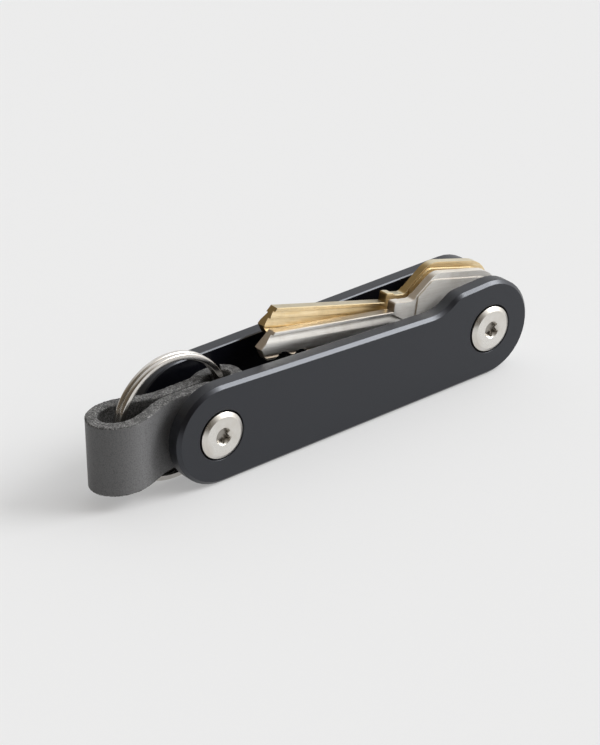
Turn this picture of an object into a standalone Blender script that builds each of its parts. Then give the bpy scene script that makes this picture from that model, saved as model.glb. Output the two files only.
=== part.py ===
"""Key organizer: two slim plates on two screw posts, with two keys, a leather strap and a split ring.

Metres, +Z up. X runs along the plates, the strap's end at -X. Y=0 is the middle of the gap between
the plates, and the front plate, whose top edge is cut away for the thumb, is at -Y. The organizer
stands on the plates' long lower edges at Z=0, and the origin is the middle of its footprint box.
"""

import math

import bmesh
import bpy
from mathutils import Matrix, Vector, geometry

# Clearances
seat_gap = 0.0003
thin_gap = 0.0002
overrun = 0.001
# Share of its distance below which a mitred corner isn't stretched any further
mitre_limit_share = 0.5

# Plates
post_spacing = 0.064
plate_radius = 0.0097
plate_thickness = 0.0032
outer_chamfer = 0.00065
inner_chamfer = 0.00025
cutaway_slope = math.radians(3.15)
raised_slope = math.radians(2.25)
step_foot_x = 0.0524
step_top_x = 0.0562
step_foot_radius = 0.0078
step_top_radius = 0.0047

# Screw posts
head_radius = 0.00456
head_proud = 0.00058
head_chamfer = 0.00078
head_chamfer_depth = 0.00042
head_edge = 0.00012
counterbore_depth = 0.0016
counterbore_edge = 0.00012
sleeve_radius = 0.0022
shank_radius = 0.0015
shank_reach = 0.003
shank_chamfer = 0.0003
socket_radius = 0.0016
socket_lobe = 0.00045
socket_lobes = 6
socket_depth = 0.0011
socket_countersink = 0.00014

# Washers
washer_thickness = 0.00058
washer_rim = 0.0005
washer_chamfer = 0.0001

# Keys, measured from the post's axis along the key and across it
key_thickness = 0.002
shoulder_reach = 0.0206
shoulder_length = 0.0046
shoulder_step = 0.0018
shoulder_corner = 0.0004
shoulder_bump = 0.0016
blade_height = 0.008
bow_rise = 0.0008
bow_half_width = 0.0099
bow_front = 0.0108
neck_corner = 0.0012
neck_line_setback = 0.0008
neck_line_width = 0.0003
panel_front_corner = 0.0005
side_border_width = 0.0003
border_width = 0.0012
border_depth = 0.00025
key_edge = 0.00012
first_cut = 0.0053
cut_flat = 0.0011
cut_slope = 0.75
groove_runout = 0.0034
nickel_key_tilt = math.radians(10.3)
nickel_blade_length = 0.03125
nickel_blade_top = 0.00427
nickel_shoulder_dip = 0.00015
nickel_bow_front_corner = 0.0034
nickel_bow_back = 0.006
nickel_bow_back_corner = 0.006
nickel_bow_taper = 0.0013
nickel_tip_setback = 0.00285
nickel_tip_low_setback = 0.00175
nickel_tip_share = 0.616
nickel_last_cut = 0.0058
nickel_land_share = 0.34
brass_key_tilt = math.radians(15.7)
brass_blade_length = 0.0287
brass_blade_top = 0.00305
brass_shoulder_dip = 0.00035
brass_bow_front_corner = 0.0046
brass_bow_back = 0.0056
brass_bow_back_corner = 0.0058
brass_bow_taper = 0.0001
brass_tip_setback = 0.0023
brass_tip_low_setback = 0.0012
brass_tip_share = 0.57
brass_last_cut = 0.00728
brass_land_share = 0.38
# Height of each cut's root above the blade's lower edge, from the shoulder to the tip
brass_cut_shares = (0.36, 0.24, 0.45, 0.2, 0.46)
nickel_cut_shares = (0.38, 0.22, 0.45, 0.3, 0.48, 0.485)
# Side, height of the square upper wall, height where the floor comes out again, and depth
brass_groove_shares = (
    (-1, 0.915, 0.77, 0.22),
    (-1, 0.755, 0.56, 0.26),
    (-1, 0.54, 0.43, 0.22),
    (1, 0.85, 0.62, 0.3),
)
nickel_groove_shares = (
    (-1, 0.935, 0.735, 0.3),
    (-1, 0.455, 0.39, 0.25),
    (1, 0.62, 0.45, 0.3),
)

# Leather strap
leather_thickness = 0.00225
strap_width = 0.0138
strap_rise = 0.0003
loop_slack = 0.00315
loop_round = 0.0062
loop_half_width = 0.0041
pinch_share = 0.387
ply_gap = 0.0003
leather_edge = 0.0003
short_flare = 0.0022
long_flare = 0.0042
curl_slack = 0.0009
curl_tail_turn = math.radians(62)

# Split ring
ring_radius = 0.0122
ring_depth = 0.0012
ring_wire = 0.00085
ring_turn_gap = 0.00045
ring_post_reach = 0.0056
ring_floor_gap = 0.0001
ring_wire_corner = 0.0002
ring_step_turn = math.radians(16)
ring_end_turn = math.radians(14)
# Where the wire steps from one turn to the other: at the lower left, inside the strap's loop
ring_step_place = math.radians(143)

# Fineness of round shapes
post_segments = 40
lobe_segments = 8
fillet_step = math.radians(9)
ring_steps = 60
ply_points = 17
wedge_points = 10
curl_points = 16
inner_levels = 17

# Worked out from the sizes above
gap = 5 * washer_thickness + 8 * seat_gap + 2 * key_thickness
half_gap = gap / 2
half_stack = half_gap + plate_thickness
bore_radius = sleeve_radius + seat_gap
washer_radius = bore_radius + washer_rim
post_z = plate_radius
ring_inner = ring_radius - ring_depth
ring_offset = ring_inner - ring_post_reach
strap_reach = ring_offset + ring_radius + loop_slack + leather_thickness
loop_middle = strap_reach - loop_round
pinch_start = pinch_share * loop_middle
left_x = -(post_spacing + plate_radius - strap_reach) / 2
right_x = left_x + post_spacing
pinch_centre = (ply_gap + leather_thickness) / 2
ply_outside = ply_gap / 2 + leather_thickness
ring_axial = 2 * ring_wire + ring_turn_gap
ring_z = ring_radius - plate_radius + ring_floor_gap
open_centre = ring_axial / 2 + seat_gap + leather_thickness / 2
left_washer_thickness = (half_gap - ply_outside - 3 * seat_gap) / 2
nickel_y = -half_gap + 3 * seat_gap + 2 * washer_thickness + key_thickness / 2
brass_y = nickel_y + key_thickness + washer_thickness + 2 * seat_gap


def clear_scene():
    for old in list(bpy.data.objects):
        bpy.data.objects.remove(old, do_unlink=True)


def finish_of(name, colour, roughness, metallic):
    material = bpy.data.materials.new(name)
    material.use_nodes = True
    shader = material.node_tree.nodes["Principled BSDF"]
    shader.inputs["Base Color"].default_value = (*colour, 1)
    shader.inputs["Roughness"].default_value = roughness
    shader.inputs["Metallic"].default_value = metallic
    material.diffuse_color = (*colour, 1)
    return material


def make_object(name, mesh_data, place, material=None, turn=0):
    """An object from a bmesh, its origin on its post's axis."""
    bmesh.ops.recalc_face_normals(mesh_data, faces=mesh_data.faces)
    mesh = bpy.data.meshes.new(name)
    mesh_data.to_mesh(mesh)
    mesh_data.free()
    made = bpy.data.objects.new(name, mesh)
    bpy.context.scene.collection.objects.link(made)
    made.location = place
    made.rotation_euler = (0, turn, 0)
    if material is None:
        made.hide_render = True
        made.display_type = "WIRE"
    else:
        mesh.materials.append(material)
        mesh.shade_smooth()
        mesh.set_sharp_from_angle(angle=math.radians(32))
    return made


def cut(target, cutter):
    step = target.modifiers.new("cut_by_" + cutter.name, "BOOLEAN")
    step.operation = "DIFFERENCE"
    step.object = cutter


def arc(centre, radius, start, end):
    """Points of an arc in the plane of an outline, both ends included."""
    count = max(2, math.ceil(abs(end - start) / fillet_step))
    points = []
    for i in range(count + 1):
        angle = start + (end - start) * i / count
        points.append(Vector((centre[0] + radius * math.cos(angle), centre[1] + radius * math.sin(angle))))
    return points


def rounded(corners):
    """A closed outline from corners (x, z, radius), each rounded by its own radius."""
    points = []
    count = len(corners)
    for i, (x, z, radius) in enumerate(corners):
        here = Vector((x, z))
        if radius == 0:
            points.append(here)
            continue
        before = Vector(corners[i - 1][:2])
        after = Vector(corners[(i + 1) % count][:2])
        to_before = (before - here).normalized()
        to_after = (after - here).normalized()
        half = to_before.angle(to_after) / 2
        centre = here + (to_before + to_after).normalized() * radius / math.sin(half)
        first = here + to_before * radius / math.tan(half)
        start = math.atan2(first.y - centre.y, first.x - centre.x)
        last = here + to_after * radius / math.tan(half)
        end = math.atan2(last.y - centre.y, last.x - centre.x)
        sweep = (end - start + math.pi) % (2 * math.pi) - math.pi
        points += arc(centre, radius, start, start + sweep)
    return points


def without_repeats(points):
    kept = []
    for point in points:
        if not kept or (point - kept[-1]).length > thin_gap / 10:
            kept.append(point)
    if (kept[0] - kept[-1]).length <= thin_gap / 10:
        kept.pop()
    return kept


def inset(points, distance):
    """The same outline moved inwards, wound anticlockwise, with mitred corners."""
    moved = []
    count = len(points)
    for i, here in enumerate(points):
        along = (here - points[i - 1]).normalized()
        onward = (points[(i + 1) % count] - here).normalized()
        normal = Vector((-along.y, along.x))
        next_normal = Vector((-onward.y, onward.x))
        middle = (normal + next_normal).normalized()
        moved.append(here + middle * distance / max(middle.dot(normal), mitre_limit_share))
    return moved


def slab(outline, levels):
    """A flat piece: the outline at each (y, inset) level, joined up and closed at both faces."""
    data = bmesh.new()
    rings = []
    for y, amount in levels:
        rings.append([data.verts.new((p.x, y, p.y)) for p in inset(outline, amount)])
    count = len(outline)
    for lower, upper in zip(rings, rings[1:]):
        for i in range(count):
            j = (i + 1) % count
            data.faces.new((lower[i], lower[j], upper[j], upper[i]))
    data.faces.new(rings[0])
    data.faces.new(list(reversed(rings[-1])))
    return data


def turned(profile, closed, segments=post_segments):
    """A piece turned about the Y axis from its (radius, y) profile."""
    data = bmesh.new()
    rings = []
    for radius, y in profile:
        if radius == 0:
            rings.append([data.verts.new((0, y, 0))])
            continue
        ring = []
        for i in range(segments):
            angle = 2 * math.pi * i / segments
            ring.append(data.verts.new((radius * math.cos(angle), y, radius * math.sin(angle))))
        rings.append(ring)
    pairs = list(zip(rings, rings[1:]))
    if closed:
        pairs.append((rings[-1], rings[0]))
    for first, second in pairs:
        for i in range(segments):
            j = (i + 1) % segments
            corners = [first[i % len(first)], first[j % len(first)]]
            corners += [second[j % len(second)], second[i % len(second)]]
            data.faces.new(list(dict.fromkeys(corners)))
    return data


def rod(name, radius, y_from, y_to, place):
    """A plain round cutter along Y."""
    profile = [(0, y_from), (radius, y_from), (radius, y_to), (0, y_to)]
    return make_object(name, turned(profile, False), place)


def cut_socket(target, face, side, place):
    """A lobed socket in a screw's head, with a small countersink round its mouth."""
    outline = []
    count = socket_lobes * lobe_segments
    for i in range(count):
        angle = 2 * math.pi * i / count
        wave = (1 - math.cos(socket_lobes * (angle - math.pi / 2))) / 2
        radius = socket_radius - socket_lobe * wave
        outline.append(Vector((radius * math.cos(angle), radius * math.sin(angle))))
    levels = [(face - side * socket_depth, 0), (face + side * overrun, 0)]
    cut(target, make_object(target.name + "_socket", slab(outline, levels), place))
    mouth = socket_radius + socket_countersink
    profile = [
        (0, face - side * (socket_countersink + socket_lobe)),
        (socket_radius - socket_lobe, face - side * (socket_countersink + socket_lobe)),
        (mouth, face),
        (mouth, face + side * overrun),
        (0, face + side * overrun),
    ]
    cut(target, make_object(target.name + "_countersink", turned(profile, False), place))


def low_edge(x):
    """Height of the front plate's cut-away top edge above the post axis."""
    return plate_radius / math.cos(cutaway_slope) - x * math.tan(cutaway_slope)


def raised_edge(x):
    """Height of the front plate's raised top edge above the post axis."""
    return plate_radius / math.cos(raised_slope) - (post_spacing - x) * math.tan(raised_slope)


def front_outline():
    quarter = math.pi / 2
    points = arc((post_spacing, 0), plate_radius, -quarter, quarter + raised_slope)
    raised_x = post_spacing - plate_radius * math.sin(raised_slope)
    tangent_x = plate_radius * math.sin(cutaway_slope)
    step = rounded(
        [
            (raised_x, raised_edge(raised_x), 0),
            (step_top_x, raised_edge(step_top_x), step_top_radius),
            (step_foot_x, low_edge(step_foot_x), step_foot_radius),
            (tangent_x, low_edge(tangent_x), 0),
        ]
    )
    points += step
    points += arc((0, 0), plate_radius, quarter - cutaway_slope, 3 * quarter)
    return without_repeats(points)


def rear_outline():
    quarter = math.pi / 2
    points = arc((post_spacing, 0), plate_radius, -quarter, quarter)
    points += arc((0, 0), plate_radius, quarter, 3 * quarter)
    return without_repeats(points)


def plate(name, outline, side, material):
    """One plate, outer face at side * half_stack, bored and counterbored for both posts."""
    levels = [
        (side * half_stack, outer_chamfer),
        (side * (half_stack - outer_chamfer), 0),
        (side * (half_gap + inner_chamfer), 0),
        (side * half_gap, inner_chamfer),
    ]
    made = make_object(name, slab(outline, levels), (left_x, 0, post_z), material)
    for end, x in (("left", left_x), ("right", right_x)):
        place = (x, 0, post_z)
        inside = side * (half_gap - overrun)
        outside = side * (half_stack + overrun)
        bore = rod(f"{name}_{end}_bore", bore_radius, inside, outside, place)
        wide = head_radius + seat_gap
        profile = [
            (0, side * (half_stack - counterbore_depth)),
            (wide, side * (half_stack - counterbore_depth)),
            (wide, side * (half_stack - counterbore_edge)),
            (wide + counterbore_edge + overrun, outside),
            (0, outside),
        ]
        cut(made, bore)
        cut(made, make_object(f"{name}_{end}_seat", turned(profile, False), place))
    return made


def head_profile(side):
    """Half of a screw head's outline, from the axis out over the chamfered rim to the underside."""
    face = half_stack + head_proud
    under = half_stack - counterbore_depth + seat_gap
    shoulder = face - head_chamfer_depth
    profile = [
        (0, side * face),
        (head_radius - head_chamfer, side * face),
        (head_radius - head_edge, side * shoulder),
        (head_radius, side * (shoulder - head_edge)),
        (head_radius, side * under),
    ]
    return profile, under


def screw(name, x, material):
    """The screw that shows in front: a low head with a lobed socket, on a shank inside the sleeve."""
    profile, under = head_profile(-1)
    profile += [
        (shank_radius, -under),
        (shank_radius, shank_reach - shank_chamfer),
        (shank_radius - shank_chamfer, shank_reach),
        (0, shank_reach),
    ]
    made = make_object(name, turned(profile, False), (x, 0, post_z), material)
    cut_socket(made, -(half_stack + head_proud), -1, (x, 0, post_z))
    return made


def sleeve(name, x, material):
    """The threaded sleeve that makes the post, with its own head in the rear plate."""
    profile, under = head_profile(1)
    front = -(half_stack - counterbore_depth - seat_gap)
    hole = shank_radius + seat_gap
    depth = shank_reach + seat_gap
    profile += [
        (sleeve_radius, under),
        (sleeve_radius, front + shank_chamfer),
        (sleeve_radius - shank_chamfer / 2, front),
        (hole, front),
        (hole, depth),
        (0, depth),
    ]
    made = make_object(name, turned(profile, False), (x, 0, post_z), material)
    cut_socket(made, half_stack + head_proud, 1, (x, 0, post_z))
    return made


def washer(name, x, y_from, thickness, material):
    profile = [
        (bore_radius, y_from + washer_chamfer),
        (bore_radius + washer_chamfer, y_from),
        (washer_radius - washer_chamfer, y_from),
        (washer_radius, y_from + washer_chamfer),
        (washer_radius, y_from + thickness - washer_chamfer),
        (washer_radius - washer_chamfer, y_from + thickness),
        (bore_radius + washer_chamfer, y_from + thickness),
        (bore_radius, y_from + thickness - washer_chamfer),
    ]
    return make_object(name, turned(profile, True), (x, 0, post_z), material)


def cut_edge(shape, tip_reach):
    """The blade's cut lower edge, from the shoulder to the tip, as (reach, height) points."""
    bottom = shape["blade_top"] - blade_height
    half_flat = cut_flat / 2
    roots = shape["cut_shares"]
    spacing = (shape["blade_length"] - first_cut - shape["last_cut"]) / (len(roots) - 1)
    cuts = []
    for i, share in enumerate(roots):
        cuts.append((shoulder_reach + first_cut + i * spacing, share * blade_height))
    points = [(cuts[0][0] - half_flat - cuts[0][1] / cut_slope, 0)]
    for (reach, root), (next_reach, next_root) in zip(cuts, cuts[1:]):
        points += [(reach - half_flat, root), (reach + half_flat, root)]
        if abs(root - next_root) >= (next_reach - reach - cut_flat) * cut_slope:
            continue
        meet = (reach + next_reach + (root - next_root) / cut_slope) / 2
        height = root - (meet - reach - half_flat) * cut_slope
        if height > 0:
            points.append((meet, height))
        else:
            points.append((reach + half_flat + root / cut_slope, 0))
            points.append((next_reach - half_flat - next_root / cut_slope, 0))
    reach, root = cuts[-1]
    land = shape["land_share"] * blade_height
    points += [(reach - half_flat, root), (reach + half_flat, root)]
    points.append((reach + half_flat + max(root - land, 0) / cut_slope, land))
    points.append((tip_reach - shape["tip_low_setback"], land))
    return [(reach, bottom + height) for reach, height in points]


def bow_corners(shape):
    """The bow's four corners as (reach, height, radius)."""
    taper = shape["bow_taper"]
    back = shape["bow_back"]
    front_corner = shape["bow_front_corner"]
    back_corner = shape["bow_back_corner"]
    return [
        (bow_front, bow_rise + bow_half_width, front_corner),
        (-back, bow_rise + bow_half_width - taper, back_corner),
        (-back, bow_rise - bow_half_width + taper, back_corner),
        (bow_front, bow_rise - bow_half_width, front_corner),
    ]


def flank_ends(shape):
    """Upper and lower (reach, height) where the blade's full thickness ends on the bow's sloped flanks."""
    blade_top = shape["blade_top"]
    upper = blade_top + shoulder_step - shape["shoulder_dip"]
    lower = blade_top - blade_height
    neck = shoulder_reach - shoulder_length
    share = neck_line_setback / (neck - bow_front)
    reach = neck - neck_line_setback
    return (
        (reach, upper + (bow_rise + bow_half_width - upper) * share),
        (reach, lower + (bow_rise - bow_half_width - lower) * share),
    )


def nearest(points, target):
    """Number of the point that lies nearest to the target."""
    return min(range(len(points)), key=lambda i: (points[i] - target).length)


def key_outline(shape):
    """A key's outline, pivot at the origin and blade towards -X, wound anticlockwise.

    It starts at the upper end of the line across the neck, and the number of its lower end is given too.
    """
    tip_reach = shoulder_reach + shape["blade_length"]
    neck = shoulder_reach - shoulder_length
    blade_top = shape["blade_top"]
    bottom = blade_top - blade_height
    shoulder_top = blade_top + shoulder_step
    dip_top = shoulder_top - shape["shoulder_dip"]
    upper_end, lower_end = flank_ends(shape)
    corners = [
        (tip_reach, bottom + shape["tip_share"] * blade_height, 0),
        (tip_reach - shape["tip_setback"], blade_top, 0),
        (shoulder_reach, blade_top, 0),
        (shoulder_reach, shoulder_top, shoulder_corner),
        (shoulder_reach - shoulder_bump, shoulder_top, shoulder_corner),
        (shoulder_reach - shoulder_bump - 2 * shoulder_corner, dip_top, shoulder_corner),
        (neck, dip_top, neck_corner),
        (*upper_end, 0),
    ]
    corners += bow_corners(shape)
    corners += [(*lower_end, 0), (neck, bottom, neck_corner)]
    corners += [(reach, height, 0) for reach, height in cut_edge(shape, tip_reach)]
    outline = rounded([(-reach, height, radius) for reach, height, radius in corners])
    outline = without_repeats(list(reversed(outline)))
    top = nearest(outline, Vector((-upper_end[0], upper_end[1])))
    outline = outline[top:] + outline[:top]
    return outline, nearest(outline, Vector((-lower_end[0], lower_end[1])))


def panel_outline(shape):
    """The raised middle of the bow: a wide border along its edge, narrow ones at its flanks and neck."""
    upper_end, lower_end = flank_ends(shape)
    corners = [(*upper_end, 0), *bow_corners(shape), (*lower_end, 0)]
    corners.reverse()
    sides = [side_border_width]
    widths = sides + 3 * [border_width] + sides + [neck_line_width]
    points = [Vector((-reach, height)) for reach, height, _ in corners]
    trimmed = []
    for i, here in enumerate(points):
        along = (here - points[i - 1]).normalized()
        onward = (points[(i + 1) % len(points)] - here).normalized()
        normal = Vector((-along.y, along.x))
        next_normal = Vector((-onward.y, onward.x))
        shared = normal.dot(next_normal)
        first = (widths[i - 1] - shared * widths[i]) / (1 - shared**2)
        second = (widths[i] - shared * widths[i - 1]) / (1 - shared**2)
        moved = here + normal * first + next_normal * second
        trimmed.append((moved.x, moved.y, max(corners[i][2] - border_width, panel_front_corner)))
    return rounded(trimmed)


def groove(name, shares, shape, place, turn):
    """A cutter for one lengthwise groove: a square upper wall and a floor that slopes out below it."""
    side, upper_share, lower_share, depth_share = shares
    bottom = shape["blade_top"] - blade_height
    upper = bottom + upper_share * blade_height
    lower = bottom + lower_share * blade_height
    face = side * key_thickness / 2
    depth = depth_share * key_thickness
    out = upper - (upper - lower) * (depth + overrun) / depth
    section = [(upper, face + side * overrun), (upper, face - side * depth), (out, face + side * overrun)]
    data = bmesh.new()
    tip = shoulder_reach + shape["blade_length"] + overrun
    ends = [[data.verts.new((-tip, y, z)) for z, y in section], []]
    for z, y in section:
        runout = groove_runout * (upper - z) / (upper - lower)
        ends[1].append(data.verts.new((runout - shoulder_reach, y, z)))
    count = len(section)
    for i in range(count):
        j = (i + 1) % count
        data.faces.new((ends[0][i], ends[0][j], ends[1][j], ends[1][i]))
    data.faces.new(ends[0])
    data.faces.new(list(reversed(ends[1])))
    return make_object(name, data, place, None, turn)


def loft(data, loops):
    """Walls between one closed loop of vertices and the next."""
    for lower, upper in zip(loops, loops[1:]):
        for i in range(len(lower)):
            j = (i + 1) % len(lower)
            data.faces.new((lower[i], lower[j], upper[j], upper[i]))


def key_body(shape):
    """The blank: a full-thickness blade, and a bow with a thin border round its raised middle."""
    data = bmesh.new()
    half = key_thickness / 2
    outline, low_end = key_outline(shape)
    blade = outline[: low_end + 1]
    panel = panel_outline(shape)
    core = [[data.verts.new((p.x, side * (half - border_depth), p.y)) for p in outline] for side in (-1, 1)]
    loft(data, core)
    for side, edge in zip((-1, 1), core):
        loops = [edge[: low_end + 1]]
        raised = [[data.verts.new((p.x, side * (half - border_depth), p.y)) for p in panel]]
        for y, amount in ((side * (half - key_edge), 0), (side * half, key_edge)):
            loops.append([data.verts.new((p.x, y, p.y)) for p in inset(blade, amount)])
            raised.append([data.verts.new((p.x, y, p.y)) for p in inset(panel, amount)])
        for stack in (loops, raised):
            loft(data, stack)
            data.faces.new(stack[-1])
        rim = edge[low_end:] + edge[:1]
        corners = rim + raised[0]
        for triangle in geometry.tessellate_polygon([[v.co for v in rim], [v.co for v in raised[0]]]):
            data.faces.new([corners[i] for i in triangle])
    return data


def key(name, y, tilt, shape, material):
    """A flat cut key hung on the right post by the hole in its bow."""
    place = (right_x, y, post_z)
    half = key_thickness / 2
    made = make_object(name, key_body(shape), place, material, tilt)
    for i, shares in enumerate(shape["groove_shares"]):
        cut(made, groove(f"{name}_groove_{i}", shares, shape, place, tilt))
    cut(made, rod(f"{name}_hole", bore_radius, -half - overrun, half + overrun, place))
    return made


def nickel_shape():
    return {
        "blade_length": nickel_blade_length,
        "blade_top": nickel_blade_top,
        "shoulder_dip": nickel_shoulder_dip,
        "bow_front_corner": nickel_bow_front_corner,
        "bow_back": nickel_bow_back,
        "bow_back_corner": nickel_bow_back_corner,
        "bow_taper": nickel_bow_taper,
        "tip_setback": nickel_tip_setback,
        "tip_low_setback": nickel_tip_low_setback,
        "tip_share": nickel_tip_share,
        "last_cut": nickel_last_cut,
        "land_share": nickel_land_share,
        "cut_shares": nickel_cut_shares,
        "groove_shares": nickel_groove_shares,
    }


def brass_shape():
    return {
        "blade_length": brass_blade_length,
        "blade_top": brass_blade_top,
        "shoulder_dip": brass_shoulder_dip,
        "bow_front_corner": brass_bow_front_corner,
        "bow_back": brass_bow_back,
        "bow_back_corner": brass_bow_back_corner,
        "bow_taper": brass_bow_taper,
        "tip_setback": brass_tip_setback,
        "tip_low_setback": brass_tip_low_setback,
        "tip_share": brass_tip_share,
        "last_cut": brass_last_cut,
        "land_share": brass_land_share,
        "cut_shares": brass_cut_shares,
        "groove_shares": brass_groove_shares,
    }


def smooth(share):
    share = min(max(share, 0), 1)
    return share * share * (3 - 2 * share)


def ring_inside_x(z):
    """How far right of the left post the ring's inner edge is at height z above the post axis."""
    drop = min(abs(z - ring_z), ring_inner)
    return math.sqrt(ring_inner**2 - drop**2) - ring_offset


def ply_y(x, z):
    """Distance of a ply's middle from the strap's middle plane, left or right of the post."""
    if x < -pinch_start:
        share = smooth((-pinch_start - x) / (loop_middle - pinch_start))
        return pinch_centre + (loop_half_width - pinch_centre) * share
    edge_share = (z / (strap_width / 2)) ** 2
    flare = short_flare + (long_flare - short_flare) * min(edge_share, 1)
    end = ring_inside_x(z) - seat_gap
    start = end - flare
    washer_clear = washer_radius + seat_gap
    if abs(z) < washer_clear:
        start = max(start, math.sqrt(washer_clear**2 - z**2))
    return pinch_centre + (open_centre - pinch_centre) * smooth((x - start) / (end - start))


def strap_path(z, trim):
    """The strip's middle line at one height, from its blunt end behind the post to its curled tail."""
    end_x = ring_inner - ring_offset - thin_gap - trim
    curl_x = ring_radius - ring_offset + curl_slack + leather_thickness / 2 - open_centre
    loop_left = strap_reach - leather_thickness / 2 - loop_middle
    path = []
    for i in range(ply_points + 1):
        x = end_x + (-pinch_start - end_x) * i / ply_points
        path.append(Vector((x, ply_y(x, z))))
    for i in range(1, wedge_points + 1):
        x = -pinch_start + (pinch_start - loop_middle) * i / wedge_points
        path.append(Vector((x, ply_y(x, z))))
    for point in arc((0, 0), 1, math.pi / 2, 3 * math.pi / 2)[1:-1]:
        path.append(Vector((point.x * loop_left - loop_middle, point.y * loop_half_width)))
    for i in range(wedge_points, -1, -1):
        x = -pinch_start + (pinch_start - loop_middle) * i / wedge_points
        path.append(Vector((x, -ply_y(x, z))))
    for i in range(1, ply_points + 1):
        x = -pinch_start + (curl_x + pinch_start) * i / ply_points
        path.append(Vector((x, -ply_y(x, z))))
    front = -math.pi / 2
    tail = curl_tail_turn - trim / open_centre
    for i in range(1, curl_points + 1):
        angle = front + (tail - front) * i / curl_points
        path.append(Vector((curl_x + open_centre * math.cos(angle), open_centre * math.sin(angle))))
    return path


def strap_level(z, trim):
    """The strip's outline at one height: out along one face and back along the other."""
    path = strap_path(z, trim)
    half = leather_thickness / 2 - trim
    near = []
    far = []
    for i, here in enumerate(path):
        before = path[max(i - 1, 0)]
        after = path[min(i + 1, len(path) - 1)]
        along = (after - before).normalized()
        across = Vector((-along.y, along.x)) * half
        near.append(here + across)
        far.append(here - across)
    return near, far


def strap(name, material):
    """One strip of leather, folded round the ring on the left and curled back on the right."""
    data = bmesh.new()
    low = strap_rise - strap_width / 2
    high = strap_rise + strap_width / 2
    levels = [(low, leather_edge)]
    for i in range(inner_levels):
        share = i / (inner_levels - 1)
        levels.append((low + leather_edge + (strap_width - 2 * leather_edge) * share, 0))
    levels.append((high, leather_edge))
    sheets = []
    for z, trim in levels:
        near, far = strap_level(z, trim)
        sheets.append(
            (
                [data.verts.new((p.x, p.y, z)) for p in near],
                [data.verts.new((p.x, p.y, z)) for p in far],
            )
        )
    count = len(sheets[0][0])
    for (near_a, far_a), (near_b, far_b) in zip(sheets, sheets[1:]):
        for i in range(count - 1):
            data.faces.new((near_a[i], near_a[i + 1], near_b[i + 1], near_b[i]))
            data.faces.new((far_a[i], far_b[i], far_b[i + 1], far_a[i + 1]))
        data.faces.new((near_a[0], near_b[0], far_b[0], far_a[0]))
        data.faces.new((near_a[-1], far_a[-1], far_b[-1], near_b[-1]))
    for near, far in (sheets[0], sheets[-1]):
        for i in range(count - 1):
            data.faces.new((near[i], far[i], far[i + 1], near[i + 1]))
    place = (left_x, 0, post_z)
    made = make_object(name, data, place, material)
    cut(made, rod(name + "_hole", bore_radius, -half_gap, half_gap, place))
    return made


def ring_centreline():
    """Middle of the spring wire: two flat turns with a step between them, ends cut back from the step."""
    layer = (ring_wire + ring_turn_gap) / 2
    middle = ring_radius - ring_depth / 2
    total = 4 * math.pi - 2 * ring_end_turn - 2 * ring_step_turn
    points = []
    steps = 2 * ring_steps
    for i in range(steps + 1):
        angle = -total / 2 + total * i / steps
        y = layer * (2 * smooth((angle + ring_step_turn) / (2 * ring_step_turn)) - 1)
        points.append((angle, Vector((middle * math.cos(angle), y, middle * math.sin(angle)))))
    return points


def least_turn_gap(points):
    """The smallest clear distance along Y between the ring's two turns."""
    least = 2 * ring_radius
    for angle, place in points:
        for other_angle, other in points:
            apart = other_angle - angle
            if apart > math.pi and (place - other).xz.length < ring_depth:
                least = min(least, (place - other).length - ring_wire)
    return least


def split_ring(name, material):
    """A split ring: one flat spring wire wound twice, lying between the strap's plies."""
    data = bmesh.new()
    half_depth = ring_depth / 2
    half_wire = ring_wire / 2
    corner = ring_wire_corner
    section = [
        (half_depth, half_wire - corner),
        (half_depth - corner, half_wire),
        (-half_depth + corner, half_wire),
        (-half_depth, half_wire - corner),
        (-half_depth, -half_wire + corner),
        (-half_depth + corner, -half_wire),
        (half_depth - corner, -half_wire),
        (half_depth, -half_wire + corner),
    ]
    points = ring_centreline()
    rings = []
    for angle, middle in points:
        outward = Vector((math.cos(angle), 0, math.sin(angle)))
        ring = []
        for out, side in section:
            ring.append(data.verts.new(middle + outward * out + Vector((0, side, 0))))
        rings.append(ring)
    count = len(section)
    for first, second in zip(rings, rings[1:]):
        for i in range(count):
            j = (i + 1) % count
            data.faces.new((first[i], first[j], second[j], second[i]))
    data.faces.new(rings[0])
    data.faces.new(list(reversed(rings[-1])))
    print("least gap between the ring's turns, mm:", round(least_turn_gap(points) * 1000, 3))
    bmesh.ops.rotate(data, verts=data.verts, matrix=Matrix.Rotation(ring_step_place, 3, "Y"))
    return make_object(name, data, (left_x - ring_offset, 0, post_z + ring_z), material)


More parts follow.
